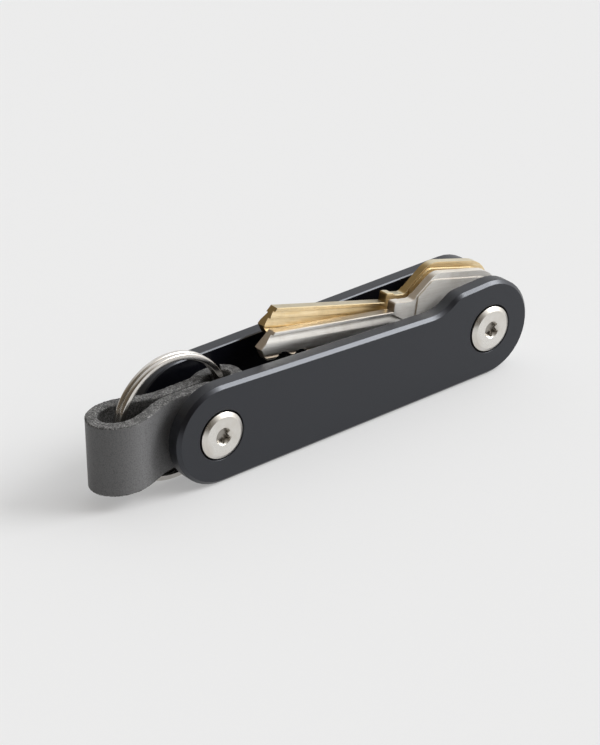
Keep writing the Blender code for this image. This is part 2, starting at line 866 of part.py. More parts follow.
def main():
    clear_scene()
    black = finish_of("black_anodised", (0.035, 0.037, 0.042), 0.42, 0.6)
    rear_black = finish_of("black_anodised_rear", (0.035, 0.037, 0.042), 0.42, 0.6)
    plate("front_plate", front_outline(), -1, black)
    plate("rear_plate", rear_outline(), 1, rear_black)
    for end, x in (("left", left_x), ("right", right_x)):
        screw(f"{end}_screw", x, finish_of(f"{end}_screw_nickel", (0.7, 0.69, 0.66), 0.3, 1))
        sleeve(f"{end}_sleeve", x, finish_of(f"{end}_sleeve_nickel", (0.7, 0.69, 0.66), 0.32, 1))
    pitch = left_washer_thickness + seat_gap
    left_places = (
        ("left_washer_1", -half_gap + seat_gap),
        ("left_washer_2", -half_gap + seat_gap + pitch),
        ("left_washer_3", ply_outside + seat_gap),
        ("left_washer_4", ply_outside + seat_gap + pitch),
    )
    for name, y in left_places:
        washer(name, left_x, y, left_washer_thickness, finish_of(name + "_steel", (0.6, 0.6, 0.6), 0.35, 1))
    half_key = key_thickness / 2
    right_places = (
        ("right_washer_1", -half_gap + seat_gap),
        ("right_washer_2", -half_gap + 2 * seat_gap + washer_thickness),
        ("right_washer_3", nickel_y + half_key + seat_gap),
        ("right_washer_4", brass_y + half_key + seat_gap),
        ("right_washer_5", brass_y + half_key + 2 * seat_gap + washer_thickness),
    )
    for name, y in right_places:
        washer(name, right_x, y, washer_thickness, finish_of(name + "_steel", (0.6, 0.6, 0.6), 0.35, 1))
    brass = finish_of("key_brass", (0.62, 0.47, 0.26), 0.3, 1)
    nickel = finish_of("key_nickel", (0.68, 0.65, 0.6), 0.28, 1)
    key("brass_key", brass_y, brass_key_tilt, brass_shape(), brass)
    key("nickel_key", nickel_y, nickel_key_tilt, nickel_shape(), nickel)
    strap("leather_strap", finish_of("grey_leather", (0.13, 0.13, 0.135), 0.6, 0))
    split_ring("split_ring", finish_of("ring_steel", (0.72, 0.7, 0.67), 0.2, 1))


main()
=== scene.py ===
import math

import bmesh
import bpy
from mathutils import Matrix, Vector, noise


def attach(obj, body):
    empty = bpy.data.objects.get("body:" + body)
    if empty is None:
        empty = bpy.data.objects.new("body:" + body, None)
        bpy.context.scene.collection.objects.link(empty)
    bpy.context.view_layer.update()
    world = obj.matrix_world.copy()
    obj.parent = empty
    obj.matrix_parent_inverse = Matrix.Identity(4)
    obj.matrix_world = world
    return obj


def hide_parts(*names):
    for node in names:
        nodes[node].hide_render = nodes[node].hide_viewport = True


# Key organizer: slate plates on nickel posts, two keys, a folded leather strap and a split ring.
# Metres, +Z up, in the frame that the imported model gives.

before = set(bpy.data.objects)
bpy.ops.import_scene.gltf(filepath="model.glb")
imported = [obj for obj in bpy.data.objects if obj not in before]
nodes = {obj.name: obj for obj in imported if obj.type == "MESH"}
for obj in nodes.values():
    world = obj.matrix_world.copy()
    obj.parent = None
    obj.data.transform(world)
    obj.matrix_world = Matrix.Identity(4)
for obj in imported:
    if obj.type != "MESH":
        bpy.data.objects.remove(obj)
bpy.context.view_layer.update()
post = {"left": -0.02535, "right": 0.03865, "height": 0.0097}  # where the posts' axes are


# Node helpers

def feed(tree, node, inputs):
    # Links a socket to an input, or sets the input's own value
    for key, value in inputs.items():
        if isinstance(value, bpy.types.NodeSocket):
            tree.links.new(value, node.inputs[key])
        else:
            node.inputs[key].default_value = value


def newMaterial(name):
    material = bpy.data.materials.new(name)
    material.use_nodes = True
    tree = material.node_tree
    return material, tree, tree.nodes["Principled BSDF"]


def addNode(tree, kind, inputs=None, **settings):
    node = tree.nodes.new("ShaderNode" + kind)
    for key, value in settings.items():
        setattr(node, key, value)
    feed(tree, node, inputs or {})
    return node


def mathNode(tree, operation, first, second=0.0):
    return addNode(tree, "Math", {0: first, 1: second}, operation=operation).outputs[0]


def times(tree, first, second):
    return mathNode(tree, "MULTIPLY", first, second)


def rampNode(tree, factor, stops):
    node = addNode(tree, "ValToRGB", {"Fac": factor})
    ramp = node.color_ramp
    while len(ramp.elements) < len(stops):
        ramp.elements.new(0.5)
    for element, (place, colour) in zip(ramp.elements, stops):
        element.position = place
        element.color = (*colour, 1)
    return node.outputs["Color"]


def rangeNode(tree, value, fromMin, fromMax, toMin=0.0, toMax=1.0):
    inputs = {"Value": value, "From Min": fromMin, "From Max": fromMax, "To Min": toMin, "To Max": toMax}
    return addNode(tree, "MapRange", inputs).outputs["Result"]


def bandNode(tree, value, start, full, fade, end):
    # 1 from full to fade, falling to 0 at start and at end
    return times(tree, rangeNode(tree, value, start, full), rangeNode(tree, value, end, fade))


def mixNode(tree, factor, first, second, mode="MIX"):
    node = addNode(tree, "Mix", data_type="RGBA", blend_type=mode)
    for socket, value in ((node.inputs[0], factor), (node.inputs[6], first), (node.inputs[7], second)):
        if isinstance(value, bpy.types.NodeSocket):
            tree.links.new(value, socket)
        elif isinstance(value, float):
            socket.default_value = value
        else:
            socket.default_value = (*value, 1)
    return node.outputs[2]


def noiseNode(tree, place, scale, detail=3.0, roughness=0.55):
    inputs = {"Vector": place, "Scale": scale, "Detail": detail, "Roughness": roughness}
    return addNode(tree, "TexNoise", inputs).outputs["Fac"]


def bumpNode(tree, height, strength, distance, under=None):
    inputs = {"Height": height, "Strength": strength, "Distance": distance}
    if under is not None:
        inputs["Normal"] = under
    return addNode(tree, "Bump", inputs).outputs["Normal"]


def turnedAboutY(tree, vector, turn):
    inputs = {"Vector": vector, "Angle": turn}
    return addNode(tree, "VectorRotate", inputs, rotation_type="Y_AXIS").outputs[0]


def stretched(tree, scale=(1, 1, 1), turn=0.0, middle=(0, 0, 0)):
    # Object coordinates about a point, turned about Y, stretched by scale
    place = addNode(tree, "TexCoord").outputs["Object"]
    moved = addNode(tree, "VectorMath", {0: place, 1: middle}, operation="SUBTRACT").outputs[0]
    turned = turnedAboutY(tree, moved, turn)
    return addNode(tree, "VectorMath", {0: turned, 1: scale}, operation="MULTIPLY").outputs[0]


def faceWay(tree, turn=0.0):
    # How far a face looks along X, Y and Z of the object, turned about Y
    normal = addNode(tree, "TexCoord").outputs["Normal"]
    return addNode(tree, "SeparateXYZ", {0: turnedAboutY(tree, normal, turn)}).outputs


def aboutAxis(tree, place):
    # The distance from the Y axis through the middle, and the place along it
    parts = addNode(tree, "SeparateXYZ", {0: place}).outputs
    flat = addNode(tree, "CombineXYZ", {0: parts[0], 2: parts[2]}).outputs[0]
    return addNode(tree, "VectorMath", {0: flat}, operation="LENGTH").outputs["Value"], parts[1]


# Plates: matte slate anodising, smoother on the chamfers, whose colour holds a faint painted highlight

plates = {
    "colour": (0.005, 0.0055, 0.0085),
    "cloud": (0.0035, 0.0038, 0.006),
    "chamferSheenColour": (0.005, 0.0055, 0.009),
    "gloss": (0.88, 0.92, 1.0, 1.0),
    "ior": 1.6,
    "roughness": 0.39,
    "edgeRoughness": 0.28,
    "innerRoughness": 0.2,
    "chamferBand": (0.3, 0.45, 0.82, 0.93),  # how squarely a chamfer looks across the plate
    "innerBand": (0.8, 0.95),
    "leastWear": 0.75,
    "cloudScale": 90.0,
    "scuffScale": 900.0,
    "grainSize": 0.00011,
    "grainBump": 0.35,
    "grainDepth": 0.00001,
    "edgeRound": 0.00007,
}


def slateFinish(name, inward):
    material, tree, shader = newMaterial(name)
    place = stretched(tree)
    clouds = noiseNode(tree, place, plates["cloudScale"], 4.0)
    colour = mixNode(tree, clouds, plates["colour"], plates["cloud"])
    side = faceWay(tree)[1]
    chamfer = bandNode(tree, mathNode(tree, "ABSOLUTE", side), *plates["chamferBand"])
    scuffs = noiseNode(tree, place, plates["scuffScale"], 5.0, 0.7)
    # Chamfers, scuffed in patches, get a smoother finish and a faint painted highlight in their colour
    worn = times(tree, chamfer, rangeNode(tree, scuffs, 0.3, 0.7, plates["leastWear"], 1.0))
    rough = rangeNode(tree, worn, 0.0, 1.0, plates["roughness"], plates["edgeRoughness"])
    # The sides that face the keys were never blasted, so they are smoother and look black
    inner = rangeNode(tree, times(tree, side, inward), *plates["innerBand"])
    smoother = times(tree, inner, plates["roughness"] - plates["innerRoughness"])
    grain = noiseNode(tree, place, 1 / plates["grainSize"], 2.0, 0.5)
    feed(tree, shader, {
        "Base Color": mixNode(tree, worn, colour, plates["chamferSheenColour"]),
        "Roughness": mathNode(tree, "SUBTRACT", rough, smoother),
        "Normal": bumpNode(tree, grain, plates["grainBump"], plates["grainDepth"]),
        "IOR": plates["ior"],
        "Specular Tint": plates["gloss"],
    })
    return material


# Post hardware: satin nickel, turned in fine rings, with painted shade inside the sockets

posts = {
    "colour": (0.785, 0.765, 0.725),
    "tint": (0.66, 0.62, 0.56),
    "socketShade": (0.36, 0.34, 0.31),
    "roughness": 0.3,
    "smoother": 0.05,
    "rougher": 0.08,
    "blotchScale": 260.0,
    "fineScale": 2600.0,
    "ringPitch": 0.00009,
    "ringShare": 0.25,
    "bump": 0.22,
    "bumpDepth": 0.000008,
    "socketMouth": 0.00172,
    "socketFade": 0.0001,
    "socketTop": 0.0083,  # both from the organizer's middle plane
    "socketFloor": 0.0074,
    "edgeRound": 0.00005,
}


def nickelFinish(name, centre, side):
    material, tree, shader = newMaterial(name)
    place = stretched(tree, middle=(centre, 0, post["height"]))
    radius, depth = aboutAxis(tree, place)
    blotches = noiseNode(tree, place, posts["blotchScale"], 4.0)
    colour = mixNode(tree, rangeNode(tree, blotches, 0.4, 0.75), posts["colour"], posts["tint"])
    # Painted shade inside the hex socket, below its mouth
    within = rangeNode(tree, radius, posts["socketMouth"], posts["socketMouth"] - posts["socketFade"])
    below = rangeNode(tree, times(tree, depth, side), posts["socketTop"], posts["socketFloor"])
    turns = mathNode(tree, "SINE", times(tree, radius, 2 * math.pi / posts["ringPitch"]))
    fine = noiseNode(tree, place, posts["fineScale"])
    height = mathNode(tree, "ADD", times(tree, turns, posts["ringShare"]), fine)
    smoothest = posts["roughness"] - posts["smoother"]
    roughest = posts["roughness"] + posts["rougher"]
    feed(tree, shader, {
        "Base Color": mixNode(tree, times(tree, within, below), colour, posts["socketShade"]),
        "Roughness": rangeNode(tree, blotches, 0.3, 0.8, smoothest, roughest),
        "Normal": bumpNode(tree, height, posts["bump"], posts["bumpDepth"]),
        "Metallic": 1.0,
    })
    return material


# Washers: plain turned steel, hidden between the plates

washers = {
    "colour": (0.55, 0.54, 0.52),
    "dullColour": (0.36, 0.35, 0.34),
    "roughness": (0.3, 0.5),
    "dullScale": 500.0,
    "scratchScale": 5200.0,
    "bump": 0.2,
    "bumpDepth": 0.00001,
    "edgeRound": 0.00003,
}


def washerFinish(name):
    material, tree, shader = newMaterial(name)
    place = stretched(tree)
    dull = noiseNode(tree, place, washers["dullScale"], 4.0)
    scratches = noiseNode(tree, place, washers["scratchScale"], 2.0)
    feed(tree, shader, {
        "Base Color": mixNode(tree, dull, washers["colour"], washers["dullColour"]),
        "Roughness": rangeNode(tree, dull, 0.2, 0.8, *washers["roughness"]),
        "Normal": bumpNode(tree, scratches, washers["bump"], washers["bumpDepth"]),
        "Metallic": 1.0,
    })
    return material


# Keys: cut blanks, drawn along the blade, handled and scuffed.
# Places are from the pivot, along the blade and up, with the key laid level.

keys = {
    "brass_key": {
        "tilt": math.radians(15.7),
        "colour": (0.86, 0.67, 0.38),
        "worn": (0.95, 0.80, 0.54),
        "top": (0.72, 0.65, 0.48),
        "bladeTopShade": (0.60, 0.53, 0.38),
        "rim": (0.50, 0.42, 0.27),
        "shade": (0.40, 0.28, 0.12),
        "stainAndShade": (0.34, 0.23, 0.10),
        "roughness": 0.34,
        "bowMetal": 0.9,
        "wallMetal": 1.0,
        "cutSide": -0.0035,
        "shoulderShade": 0.8,
    },
    "nickel_key": {
        "tilt": math.radians(10.3),
        "colour": (0.84, 0.82, 0.78),
        "worn": (0.94, 0.93, 0.90),
        "top": (0.70, 0.67, 0.62),
        "bladeTopShade": (0.38, 0.33, 0.26),
        "rim": (0.52, 0.49, 0.44),
        "shade": (0.46, 0.39, 0.31),
        "stainAndShade": (0.38, 0.32, 0.25),
        "roughness": 0.37,
        "bowMetal": 0.3,
        "wallMetal": 0.1,
        "cutSide": 0.0004,
        "shoulderShade": 0.0,
    },
    "bowStart": (-0.0215, -0.0195),
    "shoulder": (-0.034, -0.022),
    "topBand": (0.5, 0.95),
    "rimBand": (0.4, 0.55, 0.8, 0.92),
    "wallBand": (0.12, 0.24, 0.4, 0.5),
    "tipBand": (-0.3, -0.65),
    "cutFade": 0.0005,
    "cutSideShade": 0.85,
    "stainShare": 0.35,
    "stainScale": 320.0,
    "streakStretch": 0.05,
    "streakScale": 4200.0,
    "streakBump": 0.16,
    "streakDepth": 0.00001,
    "dentScale": 900.0,
    "dentBump": 0.12,
    "dentDepth": 0.00002,
    "smoother": 0.06,
    "rougher": 0.1,
    "rimRougher": 0.3,
    "edgeRound": 0.00012,
}


def keyFinish(name, look):
    # Painted shade darkens the tip, the cut side of the blade, the bevelled rims and the blade towards
    # the shoulder, and the upward faces carry painted shade, heavier along the blade than at the bow
    material, tree, shader = newMaterial(name)
    middle = (post["right"], 0, post["height"])
    plain = stretched(tree, (1, 1, 1), -look["tilt"], middle)
    drawn = stretched(tree, (keys["streakStretch"], 1, 1), -look["tilt"], middle)
    spot = addNode(tree, "SeparateXYZ", {0: plain}).outputs
    along, _, up = faceWay(tree, -look["tilt"])
    bow = rangeNode(tree, spot[0], *keys["bowStart"])
    blade = mathNode(tree, "SUBTRACT", 1.0, bow)
    streaks = noiseNode(tree, drawn, keys["streakScale"], 4.0, 0.6)
    colour = mixNode(tree, rangeNode(tree, streaks, 0.4, 0.7), look["colour"], look["worn"])
    # Painted shade: the blade darkens towards the shoulder
    dim = rangeNode(tree, spot[0], *keys["shoulder"], 0.0, look["shoulderShade"])
    colour = mixNode(tree, times(tree, dim, blade), colour, look["shade"])
    # Painted shade on the faces that look upward, heavier along the blade
    top = mixNode(tree, bow, look["bladeTopShade"], look["top"])
    colour = mixNode(tree, rangeNode(tree, up, *keys["topBand"]), colour, top)
    # Painted shade on the bevelled rims, which are also rougher
    rim = bandNode(tree, up, *keys["rimBand"])
    colour = mixNode(tree, rim, colour, look["rim"])
    # Painted shade on the faces that look back along the blade, at the tip
    colour = mixNode(tree, rangeNode(tree, along, *keys["tipBand"]), colour, look["shade"])
    # Painted shade along the lower, cut side of the blade; the same colour also marks real stains at
    # random
    cutEnd = look["cutSide"] - keys["cutFade"]
    cutSide = rangeNode(tree, spot[2], look["cutSide"], cutEnd, 0.0, keys["cutSideShade"])
    colour = mixNode(tree, times(tree, cutSide, blade), colour, look["stainAndShade"])
    stains = rangeNode(tree, noiseNode(tree, plain, keys["stainScale"], 5.0, 0.6), 0.5, 0.8)
    colour = mixNode(tree, times(tree, stains, keys["stainShare"]), colour, look["stainAndShade"])
    smoothest = look["roughness"] - keys["smoother"]
    roughest = look["roughness"] + keys["rougher"]
    rough = rangeNode(tree, streaks, 0.3, 0.8, smoothest, roughest)
    # The groove's sloping wall is left matt by the cutter
    wall = bandNode(tree, up, *keys["wallBand"])
    metal = rangeNode(tree, wall, 0.0, 1.0, 1.0, look["wallMetal"])
    dents = noiseNode(tree, plain, keys["dentScale"])
    base = bumpNode(tree, dents, keys["dentBump"], keys["dentDepth"])
    feed(tree, shader, {
        "Base Color": colour,
        "Roughness": mathNode(tree, "ADD", rough, times(tree, rim, keys["rimRougher"])),
        "Metallic": rangeNode(tree, bow, 0.0, 1.0, metal, look["bowMetal"]),
        "Normal": bumpNode(tree, streaks, keys["streakBump"], keys["streakDepth"], base),
    })
    return material


# CAD nodes keep their shapes: welded, rounded a little on their edges and shaded smooth

finishing = {
    "weldDistance": 0.0000015,
    "flatAngle": math.radians(0.6),
    "edgeAngle": math.radians(25),
    "edgeSteps": 2,
}


def shadeSmoothGroup():
    group = bpy.data.node_groups.new("smoothShading", "GeometryNodeTree")
    for direction in ("INPUT", "OUTPUT"):
        group.interface.new_socket("Geometry", in_out=direction, socket_type="NodeSocketGeometry")
    source = group.nodes.new("NodeGroupInput")
    shade = group.nodes.new("GeometryNodeSetShadeSmooth")
    target = group.nodes.new("NodeGroupOutput")
    group.links.new(source.outputs[0], shade.inputs["Geometry"])
    group.links.new(shade.outputs[0], target.inputs[0])
    return group


smoothShading = shadeSmoothGroup()


def refine(node, edgeRound, material):
    weld = node.modifiers.new("weld", "WELD")
    weld.merge_threshold = finishing["weldDistance"]
    flatten = node.modifiers.new("flatten", "DECIMATE")
    flatten.decimate_type = "DISSOLVE"
    flatten.angle_limit = finishing["flatAngle"]
    bevel = node.modifiers.new("edges", "BEVEL")
    bevel.width = edgeRound
    bevel.segments = finishing["edgeSteps"]
    bevel.limit_method = "ANGLE"
    bevel.angle_limit = finishing["edgeAngle"]
    shading = node.modifiers.new("shading", "NODES")
    shading.node_group = smoothShading
    normals = node.modifiers.new("normals", "WEIGHTED_NORMAL")
    normals.keep_sharp = False
    node.data.materials.clear()
    node.data.materials.append(material)


for name, inward in (("front_plate", 1.0), ("rear_plate", -1.0)):
    refine(nodes[name], plates["edgeRound"], slateFinish("slate_" + name, inward))
for end in ("left", "right"):
    for kind, side in (("screw", -1.0), ("sleeve", 1.0)):
        finish = nickelFinish(end + kind.title() + "Nickel", post[end], side)
        refine(nodes[end + "_" + kind], posts["edgeRound"], finish)
for name in sorted(nodes):
    if "washer" in name:
        refine(nodes[name], washers["edgeRound"], washerFinish(name + "Steel"))
for name in ("brass_key", "nickel_key"):
    refine(nodes[name], keys["edgeRound"], keyFinish(name + "Metal", keys[name]))
print("plates, posts, washers and keys finished")


# Leather strap: one strip, blunt end behind, folded round the ring, tail curled back on the right.
# The ring's sizes stand here too, because the strap is shaped round it.

strap = {
    "thickness": 0.00225,
    "width": 0.0138,
    "rise": 0.0003,
    "reach": 0.023,
    "loopMiddle": 0.0168,
    "loopHalfWidth": 0.0041,
    "pinchStart": 0.0065,
    "plyGap": 0.0003,
    "shortFlare": 0.0022,
    "longFlare": 0.0042,
    "endShort": 0.0002,
    "curlSlack": 0.0009,
    "tailTurn": math.radians(62),
    "washerRadius": 0.003,
    "clear": 0.0003,
    "hole": 0.0025,
    "holeReach": 0.008,
    "holeSides": 48,
    "rimRound": 0.00028,
    "rimRough": 0.0001,
    "rimFade": 0.0006,
    "rimRows": 3,
    "rimHeights": (0.0, 0.00006, 0.00014, 0.00028, 0.00048),
    "tipStep": 0.0002,
    "roughScale": 2800,
    "fineScale": 7000,
    "fineShare": 0.6,
    "wrinkle": 0.00004,
    "seed": 11,  # keeps the fray the same in each run
    "wrinkleScale": (420, 420, 90),
    "wrinkleSink": 0.6,
    "plySteps": 60,
    "loopSteps": 48,
    "foldSteps": 72,
    "curlSteps": 40,
    "acrossSteps": 40,
    "throughSteps": 9,
}
ring = {
    "radius": 0.0122,
    "depth": 0.0012,
    "wire": 0.00101,
    "turnGap": 0.00013,
    "offset": 0.0054,
    "height": 0.0026,
    "corner": 0.0003,
    "cornerSteps": 4,
    "stepTurn": math.radians(16),
    "endTurn": math.radians(14),
    "stepPlace": math.radians(143),
    "steps": 300,
    "colour": (0.80, 0.78, 0.75),
    "smudge": (0.66, 0.62, 0.57),
    "roughness": (0.17, 0.26),
    "lineScale": 9000.0,
    "lineBump": 0.05,
    "lineDepth": 0.000006,
    "smudgeScale": 420.0,
}
ringInner = ring["radius"] - ring["depth"]
ringCentre = (post["left"] - ring["offset"], 0, post["height"] + ring["height"])
pinchCentre = (strap["plyGap"] + strap["thickness"]) / 2
openCentre = (2 * ring["wire"] + ring["turnGap"]) / 2 + strap["clear"] + strap["thickness"] / 2


def smooth(share):
    share = min(max(share, 0), 1)
    return share * share * (3 - 2 * share)


def ringInsideX(z):
    drop = min(abs(z - ring["height"]), ringInner)
    return math.sqrt(ringInner**2 - drop**2) - ring["offset"]


def plyPlace(x, z):
    # How far a ply's middle lies from the strap's middle plane
    if x < -strap["pinchStart"]:
        share = smooth((-strap["pinchStart"] - x) / (strap["loopMiddle"] - strap["pinchStart"]))
        return pinchCentre + (strap["loopHalfWidth"] - pinchCentre) * share
    edgeShare = (z / (strap["width"] / 2)) ** 2
    flare = strap["shortFlare"] + (strap["longFlare"] - strap["shortFlare"]) * min(edgeShare, 1)
    end = ringInsideX(z) - strap["clear"]
    start = end - flare
    washerClear = strap["washerRadius"] + strap["clear"]
    if abs(z) < washerClear:
        start = max(start, math.sqrt(washerClear**2 - z**2))
    return pinchCentre + (openCentre - pinchCentre) * smooth((x - start) / (end - start))


def strapPath(z):
    # The strip's middle line at one height, from its blunt end round the loop to the curled tail
    endX = ringInner - ring["offset"] - strap["endShort"]
    curlX = ring["radius"] - ring["offset"] + strap["curlSlack"] + strap["thickness"] / 2 - openCentre
    loopLeft = strap["reach"] - strap["thickness"] / 2 - strap["loopMiddle"]
    pinch = strap["pinchStart"]
    middle = strap["loopMiddle"]
    ply, loop, fold, curl = (strap[part + "Steps"] for part in ("ply", "loop", "fold", "curl"))
    points = []
    for i in range(ply + 1):
        x = endX + (-pinch - endX) * i / ply
        points.append(Vector((x, plyPlace(x, z))))
    for i in range(1, loop + 1):
        x = -pinch + (pinch - middle) * i / loop
        points.append(Vector((x, plyPlace(x, z))))
    for i in range(1, fold):
        angle = math.pi / 2 + math.pi * i / fold
        x = loopLeft * math.cos(angle) - middle
        points.append(Vector((x, strap["loopHalfWidth"] * math.sin(angle))))
    for i in range(loop, -1, -1):
        x = -pinch + (pinch - middle) * i / loop
        points.append(Vector((x, -plyPlace(x, z))))
    for i in range(1, ply + 1):
        x = -pinch + (curlX + pinch) * i / ply
        points.append(Vector((x, -plyPlace(x, z))))
    for i in range(1, curl + 1):
        angle = -math.pi / 2 + (strap["tailTurn"] + math.pi / 2) * i / curl
        points.append(Vector((curlX + openCentre * math.cos(angle), openCentre * math.sin(angle))))
    return points


def strapRows():
    # Heights across the strip with how far each is from the nearer cut edge, closer together there
    close = list(strap["rimHeights"])
    start = close[-1]
    width = strap["width"]
    steps = strap["acrossSteps"]
    inner = [start + (width - 2 * start) * i / steps for i in range(1, steps)]
    heights = close + inner + [width - h for h in reversed(close)]
    return [(h, min(h, width - h)) for h in heights]


def strapColumn(here, across, z, ply, near, layers):
    # The points through the leather, frayed near its cut edges and wrinkled on both faces
    fade = max(0, 1 - near / strap["rimFade"])
    scaleX, scaleY, scaleZ = strap["wrinkleScale"]
    column = []
    for k in range(layers + 1):
        share = 2 * k / layers - 1
        spot = here + across * ply * share
        place = Vector((spot.x, spot.y, z))
        rough = noise.noise_vector(place * strap["roughScale"])
        rough += noise.noise_vector(place * strap["fineScale"]) * strap["fineShare"]
        place += rough * strap["rimRough"] * fade
        if k in (0, layers):
            swell = noise.noise(Vector((place.x * scaleX, place.y * scaleY, place.z * scaleZ)))
            outward = Vector((across.x, across.y, 0)) * (1 if share > 0 else -1)
            place += outward * (swell - strap["wrinkleSink"]) * strap["wrinkle"]
        column.append(place)
    return column


def strapMesh():
    noise.seed_set(strap["seed"])
    low = strap["rise"] - strap["width"] / 2
    layers = strap["throughSteps"]
    half = strap["thickness"] / 2
    rim = strap["rimRound"]
    origin = Vector((post["left"], 0, post["height"]))
    heights = strapRows()
    grid = []
    for height, inside in heights:
        z = low + height
        path = strapPath(z)
        trim = rim - math.sqrt(max(rim**2 - max(rim - inside, 0) ** 2, 0))
        last = len(path) - 1
        row = []
        for j, here in enumerate(path):
            along = (path[min(j + 1, last)] - path[max(j - 1, 0)]).normalized()
            across = Vector((-along.y, along.x))
            near = min(inside, min(j, last - j) * strap["tipStep"])
            column = strapColumn(here, across, z, half - trim, near, layers)
            row.append([place + origin for place in column])
        grid.append(row)
    return strapFaces(grid, len(heights) - 1, len(grid[0]) - 1, layers)


def strapFaces(grid, rows, columns, layers):
    # The two faces of the leather, 0 outside and 2 inside, and the cut edges all round, 1
    data = bmesh.new()
    verts = {}

    def addFace(corners, kind):
        for i, j, k in corners:
            if (i, j, k) not in verts:
                verts[(i, j, k)] = data.verts.new(grid[i][j][k])
        data.faces.new([verts[corner] for corner in corners]).material_index = kind

    for i in range(rows):
        rimRow = i < strap["rimRows"] or i >= rows - strap["rimRows"]
        for j in range(columns):
            for k, kind in ((0, 0), (layers, 2)):
                corners = [(i, j, k), (i, j + 1, k), (i + 1, j + 1, k), (i + 1, j, k)]
                addFace(corners, 1 if rimRow else kind)
    for j in range(columns):
        for k in range(layers):
            for i in (0, rows):
                addFace([(i, j, k), (i, j + 1, k), (i, j + 1, k + 1), (i, j, k + 1)], 1)
    for i in range(rows):
        for k in range(layers):
            for j in (0, columns):
                addFace([(i, j, k), (i + 1, j, k), (i + 1, j, k + 1), (i, j, k + 1)], 1)
    bmesh.ops.recalc_face_normals(data, faces=data.faces)
    return data


leather = {
    "faceDark": (0.088, 0.089, 0.092),
    "facePale": (0.12, 0.121, 0.124),
    "faceDeep": (0.03, 0.03, 0.031),
    "deepShare": 0.7,
    "shadeRampFrom": -0.0484,  # along X, from the fold towards the plates
    "shadeRampTo": -0.0405,
    "shadedTone": (0.6, 0.6, 0.6),
    "litTone": (1.4, 1.4, 1.4),
    "faceRoughness": (0.6, 0.42),
    "faceGloss": 1.0,
    "cloudScale": 150.0,
    "fineScale": 4200.0,
    "fineBump": 0.8,
    "fineDepth": 0.00004,
    "poreScale": 3000.0,
    "poreBump": 0.5,
    "creaseScale": 1300.0,
    "creaseStretch": 0.3,
    "creaseBump": 0.3,
    "faceDepth": 0.00003,
    "edgeStops": ((0.36, (0.03, 0.03, 0.03)), (0.5, (0.17, 0.17, 0.17)), (0.64, (0.46, 0.46, 0.455))),
    "edgeClump": (0.06, 0.06, 0.06),
    "clumpShare": 0.75,
    "clumpScale": 1100.0,
    "fibreScale": 3200.0,
    "fibreBump": 0.9,
    "fleshStops": ((0.34, (0.012, 0.012, 0.012)), (0.66, (0.13, 0.13, 0.128))),
    "napScale": 3600.0,
    "napBump": 0.8,
    "napDepth": 0.00014,
}


def leatherFace(name):
    material, tree, shader = newMaterial(name)
    place = stretched(tree)
    upright = stretched(tree, (1, 1, leather["creaseStretch"]))
    pores = addNode(tree, "TexVoronoi", {"Vector": place, "Scale": leather["poreScale"]})
    creases = noiseNode(tree, upright, leather["creaseScale"], 5.0, 0.6)
    clouds = noiseNode(tree, place, leather["cloudScale"], 4.0)
    fine = noiseNode(tree, place, leather["fineScale"], 5.0, 0.7)
    colour = mixNode(tree, clouds, leather["faceDark"], leather["facePale"])
    deep = rangeNode(tree, fine, 0.54, 0.34, 0.0, leather["deepShare"])
    colour = mixNode(tree, deep, colour, leather["faceDeep"])
    # Painted shade at the fold, painted light towards the plates
    along = addNode(tree, "SeparateXYZ", {0: place}).outputs[0]
    towards = rangeNode(tree, along, leather["shadeRampFrom"], leather["shadeRampTo"])
    tone = mixNode(tree, towards, leather["shadedTone"], leather["litTone"])
    grain = bumpNode(tree, creases, leather["creaseBump"], leather["faceDepth"])
    grain = bumpNode(tree, fine, leather["fineBump"], leather["fineDepth"], grain)
    grain = bumpNode(tree, pores.outputs["Distance"], leather["poreBump"], leather["faceDepth"], grain)
    feed(tree, shader, {
        "Base Color": mixNode(tree, 1.0, colour, tone, "MULTIPLY"),
        "Roughness": rangeNode(tree, fine, 0.3, 0.7, *leather["faceRoughness"]),
        "Normal": grain,
        "Specular IOR Level": leather["faceGloss"],
    })
    return material


def leatherEdge(name):
    material, tree, shader = newMaterial(name)
    place = stretched(tree)
    fibres = noiseNode(tree, place, leather["fibreScale"], 6.0, 0.75)
    clumps = noiseNode(tree, place, leather["clumpScale"], 4.0, 0.6)
    clumped = rangeNode(tree, clumps, 0.4, 0.62, 0.0, leather["clumpShare"])
    colour = rampNode(tree, fibres, leather["edgeStops"])
    feed(tree, shader, {
        "Base Color": mixNode(tree, clumped, colour, leather["edgeClump"]),
        "Normal": bumpNode(tree, fibres, leather["fibreBump"], leather["napDepth"]),
        "Roughness": 0.9,
        "Specular IOR Level": 0.2,
    })
    return material


def leatherFlesh(name):
    material, tree, shader = newMaterial(name)
    nap = noiseNode(tree, stretched(tree), leather["napScale"], 6.0, 0.7)
    feed(tree, shader, {
        "Base Color": rampNode(tree, nap, leather["fleshStops"]),
        "Normal": bumpNode(tree, nap, leather["napBump"], leather["napDepth"]),
        "Roughness": 0.95,
        "Specular IOR Level": 0.15,
    })
    return material


def addObject(name, data, materials=()):
    mesh = bpy.data.meshes.new(name)
    data.to_mesh(mesh)
    data.free()
    for material in materials:
        mesh.materials.append(material)
    thing = bpy.data.objects.new(name, mesh)
    bpy.context.scene.collection.objects.link(thing)
    return thing


def newPiece(name, data, materials, body):
    piece = addObject(name, data, materials)
    piece.data.shade_smooth()
    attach(piece, body)
    return piece


